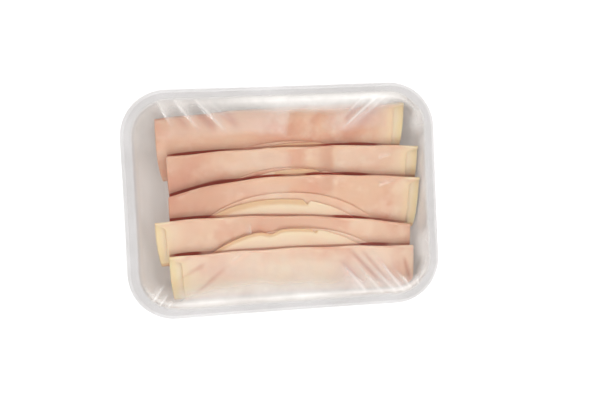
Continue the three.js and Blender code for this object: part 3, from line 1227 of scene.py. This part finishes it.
    def build(self, outline: TrayOutline, rim_height: float) -> bpy.types.Object:
        """Models the slice and gives it its finish.

        Args:
            outline: The tray's outline.
            rim_height: Height of the tray's flange.

        Returns:
            The finished piece.
        """
        rows = self._rows()
        left = self._meeting(rows[:, 0], rows[:, 1], rows[:, 2], -1.0)
        right = self._meeting(rows[:, 0], rows[:, 1], rows[:, 2], 1.0)
        mesh = self._slab(len(rows))
        cells = read_points(mesh)
        column = cells[:, 0]
        row = np.clip(np.rint(cells[:, 1]).astype(int), 0, len(rows) - 1)
        through = cells[:, 2]
        side, down, tilt, reach, crown = rows[row].T
        even = column / self.columns
        share = (1.0 - self.column_pull) * even + self.column_pull * (1.0 - np.cos(math.pi * even)) / 2
        along = left[row] + (right[row] - left[row]) * share
        own = along - side * self.slide
        start = down + tilt * along
        edge = np.maximum(self._round_edge(own, side, ROUNDNESS) - CROWN_LENGTH, start)
        place = start + (edge - start) * reach
        bulges = (np.abs(through) < 0.5).astype(float) * self.rim_round
        along += bulges * ((column > self.columns - 0.5).astype(float) - (column < 0.5).astype(float))
        place += bulges * (reach > 0.999)
        offset = through * LEAF / 2
        folded = self._fold(side, np.column_stack([along, place]), offset)
        on_crown = crown >= 0
        turn = (crown - 0.5) * math.pi
        folded[:, 1] = np.where(on_crown, -(LAYER / 2 + offset) * np.cos(turn), folded[:, 1])
        crown_depth = LEAF / 2 + LAYER / 2 + (LAYER / 2 + offset) * np.sin(turn)
        folded[:, 2] = np.where(on_crown, crown_depth, folded[:, 2])
        on_flap = place > self.width
        points = self._unrest(self._settle(folded), place, on_flap)
        write_points(mesh, self._press(points, outline, rim_height))
        end_gap = np.minimum(along - left[row], right[row] - along)
        # Painted shade under the crown and on the inner leaf's lower face near the fold.
        below = np.where(on_crown, smoothstep(crown, *self.under_crown), side > 0) * (through > 0.5)
        under = self.under_dark * below * np.exp(-place / self.under_reach)
        crevice_shade_place, crevice_shade_strength = self._crevice_shade(points, on_flap)
        # Painted shade: darker blots and the grooves that the film presses in.
        blot_shade = self._blotted(self.shade_blots, points[:, 0], place)
        for crease in self.creases:
            blot_shade += crease.darkness * crease.on(points[:, 0], points[:, 1]) * ~on_flap
        middle = 1.0 - smoothstep(np.abs(own), *self.flap_pale_ends)
        # Pale blots paint the slice paler where the film's whitish reflection lies over it.
        pale = self._blotted(self.pales, points[:, 0], place)
        pale += self.flap_pale * on_flap * (side > 0) * middle
        values = {
            "rim": self._rim(own, side, place, end_gap),
            "shade": self._shade(points, under, on_flap),
            "crevice_shade_place": crevice_shade_place,
            "crevice_shade_strength": crevice_shade_strength,
            "blot_shade": np.minimum(blot_shade, 1.0),
            "pale": np.minimum(pale, 1.0),
            "rind": self._edge_share(own, side, place, self.rind_fade),
            "fat": self._edge_share(own, side, place, self.fat_fade),
            "crust": self.crust * on_flap,
        }
        for name, numbers in values.items():
            write_value(mesh, name, numbers)
        signed = np.where(on_crown, (2.0 * crown - 1.0) * CROWN_LENGTH, side * (CROWN_LENGTH + place))
        self._lay_out(mesh, own, signed)
        close_up(mesh, merge=0.004, sharp_angle=math.radians(75.0))
        finish = MeatFinish(f"meat_{self.index + 1}", self.tone, 1.7 * self.index)
        piece = show(mesh, finish.material())
        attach(piece, BODY)
        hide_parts(f"slice_{self.index + 1}")
        return piece

    def _edge_share(self, own: Array, side: Array, place: Array, fade: Pair) -> Array:
        """Finds how strongly the edge shows its rind or its fat.

        Args:
            own: Place along the leaf, from its middle.
            side: The leaf of each point.
            place: Distance from the first fold.
            fade: How far before and after the start of the rind it comes in.

        Returns:
            The strength, whole on the inner leaf and faint on the outer one.
        """
        towards = self.rind_end.value * own
        wide = smoothstep(towards, self.rind_start - fade[0], self.rind_start + fade[1])
        low, high = self.faint_rind_start
        narrow = self.faint_rind * smoothstep(towards, self.half * low, self.half * high)
        return np.where(side > 0, wide, narrow * (place < self.width))

    def _lay_out(self, mesh: bpy.types.Mesh, own: Array, signed: Array) -> None:
        """Stores the place on the unfolded slice, in decimetres, as the piece's UV map.

        Args:
            mesh: The piece's mesh.
            own: Place along the leaf, from its middle.
            signed: Distance from the first fold's middle, below 0 on the outer leaf.
        """
        layer = mesh.uv_layers.new(name="flat")
        corners = np.empty(len(mesh.loops), dtype=np.int32)
        mesh.loops.foreach_get("vertex_index", corners)
        flat = np.column_stack([own, signed]) / 100.0
        layer.data.foreach_set("uv", flat[corners].astype(np.float32).ravel())


# ---- lid film ----

FILM_WAVES = (Wave(0.1, 9.0, 17.0), Wave(0.1, 5.2, -11.0, 1.0), Wave(0.06, 3.1, 4.4, 2.0))
REFLECTION_WAVES_X = (Wave(0.9, math.inf, 5.3, 1.0), Wave(0.5, math.inf, 2.1))
REFLECTION_WAVES_Y = (Wave(1.0, 13.0), Wave(0.3, 5.3, start=2.0))


@dataclass(frozen=True)
class Pleat:
    """A small fold of the film, strongest at its start by the flange."""

    start: Pair
    end: Pair
    height: float
    spread: float
    milk_and_sheen: float = 0.25

    def rise(self, x: Array, y: Array) -> Array:
        """How far the pleat lifts the film, with a trough on its left.

        Args:
            x: Places along the tray.
            y: Places across the tray.

        Returns:
            The heights.
        """
        share, across = line_places(self.start, self.end, x, y)
        trough = 0.45 * bell(across, 2.1 * self.spread, self.spread)
        ridge = bell(across, 0.0, self.spread) - trough
        return self.height * window(share, (-0.12, 0.05), (0.35, 1.0)) * ridge

    def painted_sheen(self, x: Array, y: Array) -> Array:
        """How milky the pleat is painted: a painted highlight streak on its right and a thin veil on its
        left.

        Args:
            x: Places along the tray.
            y: Places across the tray.

        Returns:
            The share of milk.
        """
        share, across = line_places(self.start, self.end, x, y)
        streak = bell(across, -0.4 * self.spread, 0.6 * self.spread)
        veil = 0.35 * bell(across, 0.9 * self.spread, 1.6 * self.spread)
        return self.milk_and_sheen * window(share, (-0.1, 0.05), (0.4, 1.05)) * np.maximum(streak, veil)


@dataclass(frozen=True)
class PaintedReflectionPatch:
    """A part of the film painted milky as a painted reflection of the lamps; over the tray's right side
    it paints light into the shade.
    """

    low: Pair
    high: Pair
    soft: Pair
    strength: float
    soft_y: float = 5.0

    def on(self, x: Array, y: Array) -> Array:
        """How much of the patch each place gets.

        Args:
            x: Places along the tray.
            y: Places across the tray.

        Returns:
            Its strength in the middle, fading to 0 at its edges.
        """
        inside_x = window(x, about(self.low[0], self.soft[0]), about(self.high[0], self.soft[1]))
        inside_y = window(y, about(self.low[1], self.soft_y), about(self.high[1], self.soft_y))
        return self.strength * inside_x * inside_y


@dataclass
class LidFilm:
    """The clear film, sealed on the land and drawn down over the slices."""

    outline: TrayOutline
    rim_height: float
    pleats: tuple[Pleat, ...]
    haze_and_reflection: tuple[PaintedReflectionPatch, ...]
    crowns: tuple[float, ...]
    edge_inset: float = 2.15
    land_end: float = 5.8
    land_soft: float = 0.6
    calm_band: float = 4.0
    lift: float = 0.06
    thickness: float = 0.1
    dip: float = 2.3
    dip_end: float = 20.0
    corner_pull: int = 4
    crown_rise: float = 0.32
    crown_spread: float = 4.5
    cells: tuple[int, int] = (200, 142)
    # A faint real haze on the film and the land, and a painted highlight along the foot of the seal where
    # the film bends down.
    base_fog: float = 0.006
    seal_fog: float = 0.04
    seam_highlight: float = 0.42
    seam_inset: float = 2.7
    seam_spread: float = 1.1
    seam_sides: Pair = (42.0, 55.0)
    far_seam: float = 0.7
    far_seam_start: Pair = (-70.0, 30.0)

    def _sheet(self) -> bpy.types.Mesh:
        """Makes a fine flat grid whose border follows the tray's rounded outline.

        Returns:
            The mesh.
        """
        bm = bmesh.new()
        bmesh.ops.create_grid(bm, x_segments=self.cells[0], y_segments=self.cells[1], size=0.5)
        mesh = drawn(bm, "lid_film_sheet")
        unit = read_points(mesh)[:, :2] * 2.0
        half = np.array([self.outline.length / 2, self.outline.width / 2]) - self.edge_inset
        radius = self.outline.corner - self.edge_inset
        level = np.maximum(np.abs(unit).max(axis=1), 1e-6)
        border = unit / level[:, None] * half
        core = np.clip(border, radius - half, half - radius)
        away = border - core
        reach = np.maximum(np.linalg.norm(away, axis=1), 1e-9)
        rounded = core + away / reach[:, None] * np.minimum(reach, radius)[:, None]
        pull = (level**self.corner_pull)[:, None]
        flat = unit * half * (1.0 - pull) + rounded * level[:, None] * pull
        write_points(mesh, np.column_stack([flat, np.zeros(len(flat))]))
        return mesh

    def _height(self, x: Array, y: Array, inset: Array) -> Array:
        """Finds the height of the film's underside.

        Args:
            x: Places along the tray.
            y: Places across the tray.
            inset: How far they lie inside the outline.

        Returns:
            The heights.
        """
        free = smoothstep(inset, self.land_end, self.dip_end)
        inner = smoothstep(inset, self.land_end, self.land_end + self.calm_band)
        z = self.rim_height + self.lift - self.dip * free + inner * ripple(FILM_WAVES, x, y)
        for crown in self.crowns:
            z += self.crown_rise * free * bell(y, crown, self.crown_spread)
        for pleat in self.pleats:
            z += inner * pleat.rise(x, y)
        return z

    def _haze_and_reflection_at(self, x: Array, y: Array, inset: Array) -> Array:
        """Finds how milky the film is: a faint haze with painted reflections and highlights.

        Args:
            x: Places along the tray.
            y: Places across the tray.
            inset: How far they lie inside the outline.

        Returns:
            The share of milk.
        """
        bent_x = x + ripple(REFLECTION_WAVES_X, x, y)
        bent_y = y + ripple(REFLECTION_WAVES_Y, x, y)
        uneven = 0.75 + 0.25 * np.sin(x / 6.1) * np.sin(y / 4.7 + x / 17.0)
        far_side = self.far_seam * smoothstep(y, *self.seam_sides) * smoothstep(x, *self.far_seam_start)
        sides = smoothstep(-y, *self.seam_sides) + far_side
        # Painted highlight: a bright line along the foot of the seal.
        seam = bell(inset, self.land_end + self.seam_inset, self.seam_spread)
        haze_and_reflection = self.base_fog + self.seam_highlight * uneven * sides * seam
        for patch in self.haze_and_reflection:
            haze_and_reflection = haze_and_reflection + patch.on(bent_x, bent_y)
        for pleat in self.pleats:
            haze_and_reflection = haze_and_reflection + pleat.painted_sheen(x, y)
        on_land = 1.0 - smoothstep(inset, *about(self.land_end, self.land_soft))
        return haze_and_reflection * (1.0 - on_land) + self.seal_fog * on_land

    def build(self) -> bpy.types.Object:
        """Models the film and gives it its finish.

        Returns:
            The finished piece.
        """
        mesh = self._sheet()
        flat = read_points(mesh)
        x, y = flat[:, 0], flat[:, 1]
        inset = self.outline.inset(x, y)
        write_value(mesh, "haze_and_reflection", self._haze_and_reflection_at(x, y, inset))
        raised = np.column_stack([x, y, self._height(x, y, inset)])
        write_points(mesh, self.outline.bowed(raised))
        bm = bmesh.new()
        bm.from_mesh(mesh)
        bmesh.ops.solidify(bm, geom=list(bm.faces), thickness=-self.thickness)
        bm.to_mesh(mesh)
        bm.free()
        close_up(mesh, merge=0.001, sharp_angle=math.radians(60.0))
        piece = show(mesh, FilmFinish().material())
        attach(piece, BODY)
        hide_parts("lid_film")
        return piece


# ---- studio ----


@dataclass(frozen=True)
class SoftBox:
    """A rectangular light that faces the tray, in millimetres.

    White paper in this room has a radiance of 1. The film and the tray mirror
    the box only where it says so.
    """

    name: str
    place: Place
    size: Pair
    radiance: float
    mirrored: bool = True

    def build(self) -> None:
        """Adds the light."""
        data = bpy.data.lights.new(self.name, "AREA")
        data.shape = "RECTANGLE"
        data.size = self.size[0] * MM
        data.size_y = self.size[1] * MM
        data.energy = self.radiance * math.pi * data.size * data.size_y
        light = bpy.data.objects.new(self.name, data)
        light.visible_glossy = self.mirrored
        bpy.context.scene.collection.objects.link(light)
        middle = Vector(self.place) * MM
        turn = middle.to_track_quat("Z", "Y").to_matrix().to_4x4()
        light.matrix_world = Matrix.Translation(middle) @ turn


BOX_LIGHT = 1.45
STRIP_LIGHT = 7.0
LIGHTS = (
    SoftBox("left_box", (-900.0, 250.0, 900.0), (700.0, 900.0), 0.75 * BOX_LIGHT, mirrored=False),
    SoftBox("right_box", (1000.0, -150.0, 800.0), (600.0, 900.0), 1.5 * BOX_LIGHT, mirrored=False),
    SoftBox("back_box", (100.0, 1000.0, 800.0), (900.0, 500.0), BOX_LIGHT),
    SoftBox("front_box", (-50.0, -1000.0, 800.0), (900.0, 500.0), 1.15 * BOX_LIGHT),
    SoftBox("back_strip", (250.0, 620.0, 1000.0), (800.0, 70.0), STRIP_LIGHT),
    SoftBox("front_strip", (-250.0, -640.0, 1000.0), (800.0, 70.0), STRIP_LIGHT),
)


@dataclass
class Studio:
    """Pale floor, soft light and the camera."""

    camera_place: Place = (-68.18, 20.74, 513.51)
    camera_right: Place = (0.98660, -0.04602, 0.15653)
    camera_up: Place = (0.05225, 0.99799, -0.03592)
    camera_back: Place = (-0.15456, 0.04362, 0.98702)
    lens: float = 50.7
    floor_size: float = 6000.0
    sky: tuple[Pair, ...] = ((0.0, 0.6), (0.3, 0.85), (0.5, 1.0), (0.72, 1.0), (0.88, 0.2))
    sky_strength: float = 1.0

    def camera(self) -> None:
        """Places the camera at the photo's angle."""
        data = bpy.data.cameras.new("camera")
        data.lens = self.lens
        data.sensor_width = 36.0
        data.clip_start = 0.01
        data.clip_end = 20.0
        camera = bpy.data.objects.new("camera", data)
        bpy.context.scene.collection.objects.link(camera)
        turn = Matrix([self.camera_right, self.camera_up, self.camera_back]).transposed()
        camera.matrix_world = Matrix.Translation(Vector(self.camera_place) * MM) @ turn.to_4x4()
        bpy.context.scene.camera = camera

    def world(self) -> None:
        """A room that is brightest half way up and darker straight above."""
        world = bpy.data.worlds.new("soft_room")
        sheet = NodeSheet(world)
        place = sheet.node("ShaderNodeTexCoord").outputs["Generated"]
        height = sheet.node("ShaderNodeSeparateXYZ", {0: place}).outputs[2]
        ramp = sheet.node("ShaderNodeValToRGB", {0: height})
        ramp.color_ramp.interpolation = "EASE"
        stops = ramp.color_ramp.elements
        while len(stops) < len(self.sky):
            stops.new(1.0)
        for stop, (position, grey) in zip(stops, self.sky):
            stop.position = position
            stop.color = (grey, grey, grey, 1.0)
        paint = {"Color": ramp.outputs[0], "Strength": self.sky_strength}
        light = sheet.node("ShaderNodeBackground", paint)
        sheet.node("ShaderNodeOutputWorld", {0: light.outputs[0]})
        bpy.context.scene.world = world

    def floor(self) -> None:
        """A plain pale floor."""
        bm = bmesh.new()
        bmesh.ops.create_grid(bm, x_segments=1, y_segments=1, size=self.floor_size * MM / 2)
        sheet = NodeSheet(bpy.data.materials.new("pale_floor"))
        place = sheet.node("ShaderNodeTexCoord").outputs["Object"]
        tint = sheet.tint(sheet.noise(place, 6.0, 2.0), linear(198, 198, 198), (202, 202, 202))
        paint = {
            "Base Color": tint,
            "Roughness": 0.9,
            "Emission Color": (1.0, 1.0, 1.0, 1.0),
            "Emission Strength": 0.6,
        }
        mesh = drawn(bm, "pale_floor")
        floor = show(mesh, sheet.finish(sheet.node("ShaderNodeBsdfPrincipled", paint).outputs[0]))

    def build(self) -> None:
        """Sets up the whole studio."""
        self.camera()
        self.world()
        self.floor()
        for light in LIGHTS:
            light.build()
        scene = bpy.context.scene
        scene.view_settings.view_transform = "Standard"
        scene.view_settings.look = "None"


# ---- the pack ----

# The slices' darker blots are painted shade on dimmer parts and by hollows; the creases' darkness paints
# shade in their grooves.
SLICES = (
    FoldedSlice(
        0, 1.5, 54.5, 0.031, 2.0, 0.0, 71.2, 35.0, 0.0, 4.2, 3.6, RindEnd.RIGHT, (234.0, 190.0, 160.0),
        shade_blots=(
            Blot(5.0, 22.0, 0.12, (2.0, 3.0)),
            Blot(46.0, 64.0, 0.35, (14.0, 6.0), stop=14.0, soft_down=8.0),
            Blot(-75.0, -44.0, 0.16, (10.0, 24.0)),
        ),
        creases=(
            Crease((-54.0, 60.0), (-37.0, 41.0), 0.4, 2.8, 0.75),
            Crease((-65.0, 58.0), (-54.0, 43.0), 0.35, 2.2, 0.4),
            Crease((-41.0, 60.0), (-23.0, 42.0), 0.35, 2.6, 0.7),
            Crease((54.0, 61.0), (38.0, 43.5), 0.45, 1.5, 0.75),
            Crease((60.0, 54.0), (47.0, 41.0), 0.3, 2.4, 0.35),
        ),
    ),
    FoldedSlice(
        1, 8.2, 30.4, 0.0, 2.3, 0.0, 72.0, 29.3, 0.0, 2.5, 3.8, RindEnd.RIGHT, (237.0, 198.0, 168.0),
        lifts=(Lift(41.0, 13.0, 0.9), Lift(-56.0, 18.0, 0.5)),
        shade_blots=(Blot(23.0, 31.5, 0.44, (10.0, 4.0), stop=30.0), Blot(-75.0, -36.0, 0.28, (10.0, 30.0))),
    ),
    FoldedSlice(
        2, 8.4, 13.3, 0.026, 6.1, -2.4, 72.6, 28.6, 0.02, 2.3, 3.4, RindEnd.RIGHT, (235.0, 192.0, 162.0),
        dents=(EdgeDent(Leaf.INNER, 13.3, 3.6, 4.0), EdgeDent(Leaf.OUTER, 13.3, 3.6, 4.0)),
        lifts=(Lift(-36.0, 24.0, 1.25), Lift(36.0, 15.0, 0.6), Lift(20.5, 4.5, 0.9)),
        shade_blots=(
            Blot(24.0, 31.0, 0.4, (8.0, 4.0), stop=10.0, soft_down=5.0),
            Blot(-75.0, -30.0, 0.38, (10.0, 34.0)),
        ),
    ),
    FoldedSlice(
        3, 0.9, -10.4, -0.061, 4.2, 0.0, 74.0, 24.6, -0.02, 3.8, -3.0,
        RindEnd.LEFT, (238.0, 199.0, 171.0),
        flap_pale=0.6,
        dents=(EdgeDent(Leaf.INNER, 17.6, 2.4, 1.2, nick=True),),
        lifts=(Lift(46.0, 12.0, 0.55), Lift(-60.0, 20.0, 0.4)),
        shade_blots=(Blot(-30.0, 30.0, 0.26, (16.0, 24.0), start=-4.0, stop=9.0, soft_down=5.0),),
    ),
    FoldedSlice(
        4, 5.0, -29.9, -0.013, 1.9, 0.0, 70.3, 24.8, 0.0, 1.7, -3.5, RindEnd.LEFT, (243.0, 210.0, 186.0),
        flap_rind=1.9, flap_pale=0.7, thin_gap=0.04,
        dents=(EdgeDent(Leaf.INNER, 16.5, 2.2, 1.2, nick=True), EdgeDent(Leaf.INNER, -10.0, 2.4, 4.5)),
        lifts=(Lift(53.0, 10.0, 0.75), Lift(-58.0, 9.0, 0.45)),
        # S5 is painted paler towards its near edge, standing in for the film's whitish reflection over
        # it.
        pales=(
            Blot(-36.0, 34.0, 0.6, (30.0, 24.0), start=5.0),
            Blot(-70.0, 34.0, 0.9, (14.0, 30.0), start=14.0, soft_down=9.0),
        ),
        creases=(
            Crease((37.0, -31.0), (64.0, -60.5), 0.5, 1.3, 0.9),
            Crease((44.5, -31.5), (69.0, -61.5), 0.45, 1.2, 0.7),
            Crease((31.5, -38.5), (54.5, -61.5), 0.45, 1.1, 0.7),
            Crease((33.0, -37.5), (43.0, -51.5), 0.4, 1.3, 0.4),
            Crease((55.0, -38.0), (70.2, -57.0), 0.4, 1.2, 0.55),
            Crease((72.4, -38.0), (76.9, -56.0), 0.4, 1.4, 0.7),
            Crease((-66.5, -45.8), (-47.0, -35.3), 0.45, 1.3, 0.6),
            Crease((-57.0, -55.8), (-35.0, -38.2), 0.45, 1.3, 0.5),
            Crease((-67.7, -37.0), (-56.0, -30.6), 0.3, 1.4, 0.3),
        ),
    ),
)

# Pleats of the film; their milk paints a highlight streak along each ridge, and the last four are small
# painted glints.
PLEATS = (
    Pleat((-71.0, 61.0), (-62.9, 44.3), 0.55, 1.1, 0.3),
    Pleat((-61.0, 61.0), (-47.0, 42.0), 0.7, 1.3, 0.34),
    Pleat((-48.6, 60.5), (-30.8, 40.2), 0.65, 1.4, 0.32),
    Pleat((-42.0, 60.0), (-27.0, 47.0), 0.15, 2.0, 0.14),
    Pleat((57.0, 56.5), (35.9, 38.7), 0.8, 1.5, 0.36),
    Pleat((50.0, 58.0), (38.5, 47.0), 0.5, 1.2, 0.2),
    Pleat((64.0, 58.0), (48.0, 44.0), 0.3, 1.8, 0.14),
    Pleat((-81.5, -57.0), (-73.0, -45.9), 0.6, 1.1, 0.5),
    Pleat((-77.5, -59.5), (-70.4, -50.6), 0.55, 1.0, 0.5),
    Pleat((-73.0, -61.5), (-67.5, -54.0), 0.45, 0.9, 0.4),
    Pleat((45.5, -58.0), (32.0, -40.0), 0.5, 1.8, 0.26),
    Pleat((56.6, -60.0), (40.1, -40.0), 0.6, 1.2, 0.24),
    Pleat((65.0, -60.5), (46.7, -38.5), 0.6, 1.2, 0.24),
    Pleat((69.5, -59.5), (51.4, -34.6), 0.8, 1.5, 0.34),
    Pleat((75.0, -58.5), (63.0, -44.0), 0.5, 1.2, 0.24),
    Pleat((79.4, -58.5), (78.3, -49.0), 0.5, 1.0, 0.5),
    Pleat((59.0, 22.4), (68.0, 24.0), 0.12, 0.9, 0.16),
    Pleat((58.5, 5.6), (69.0, 8.1), 0.12, 0.9, 0.16),
    Pleat((-21.4, -19.5), (-22.0, -12.0), 0.12, 0.8, 0.14),
    Pleat((-32.6, -35.0), (-26.0, -30.8), 0.12, 0.8, 0.12),
)

# Painted reflections of the lamps on the film; the patches over the right wall paint light into the shade
# inside the tray.
PAINTED_REFLECTIONS = (
    PaintedReflectionPatch((-70.0, 39.0), (-31.0, 54.0), (8.0, 12.0), 0.07, 3.0),
    PaintedReflectionPatch((-29.0, 39.0), (4.0, 54.0), (16.0, 2.0), 0.14, 3.0),
    PaintedReflectionPatch((29.0, 40.0), (60.0, 54.0), (6.0, 12.0), 0.12, 3.0),
    PaintedReflectionPatch((-29.0, 17.0), (4.0, 28.0), (16.0, 2.4), 0.06, 2.5),
    PaintedReflectionPatch((31.0, 17.0), (64.0, 28.0), (2.0, 14.0), 0.05, 2.5),
    PaintedReflectionPatch((-29.0, 1.0), (4.0, 9.0), (16.0, 2.4), 0.05, 2.5),
    PaintedReflectionPatch((-50.0, -60.0), (60.0, -36.0), (20.0, 20.0), 0.14, 8.0),
    PaintedReflectionPatch((81.0, 38.0), (96.0, 62.0), (3.5, 4.0), 0.28, 5.0),
    PaintedReflectionPatch((87.0, -28.0), (96.0, 36.0), (3.0, 4.0), 0.26, 5.0),
    PaintedReflectionPatch((82.0, -60.0), (96.0, -26.0), (3.5, 4.0), 0.28, 5.0),
    PaintedReflectionPatch((-96.0, 34.0), (-75.0, 66.0), (4.0, 4.0), 0.12, 8.0),
    PaintedReflectionPatch((-66.0, -72.0), (38.0, -53.0), (8.0, 12.0), 0.46, 8.0),
    PaintedReflectionPatch((40.0, -72.0), (78.0, -54.0), (12.0, 6.0), 0.24, 6.0),
    PaintedReflectionPatch((-74.0, 55.0), (78.0, 74.0), (8.0, 8.0), 0.3, 5.0),
    PaintedReflectionPatch((-30.0, 54.0), (70.0, 74.0), (20.0, 12.0), 0.4, 4.0),
)


def main() -> None:
    """Builds the pack piece by piece, then the studio."""
    logging.basicConfig(level=logging.INFO, format="%(name)s: %(message)s")
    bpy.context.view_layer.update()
    tray_low, tray_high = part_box("tray")
    size = (tray_high - tray_low) / MM
    outline = TrayOutline.around(size.x, size.y)
    tray = Tray(outline, size.z)
    pieces = [tray.build()]
    for folded, above in zip(SLICES, (*SLICES[1:], None)):
        folded.on_top = (above,) if above else ()
        pieces.append(folded.build(outline, size.z))
    crowns = tuple(folded.y for folded in SLICES)
    pieces.append(LidFilm(outline, size.z, PLEATS, PAINTED_REFLECTIONS, crowns).build())
    for piece in pieces:
        LOG.info("%s has %d faces", piece.name, len(piece.data.polygons))
    Studio().build()


if __name__ == "__main__":
    main()
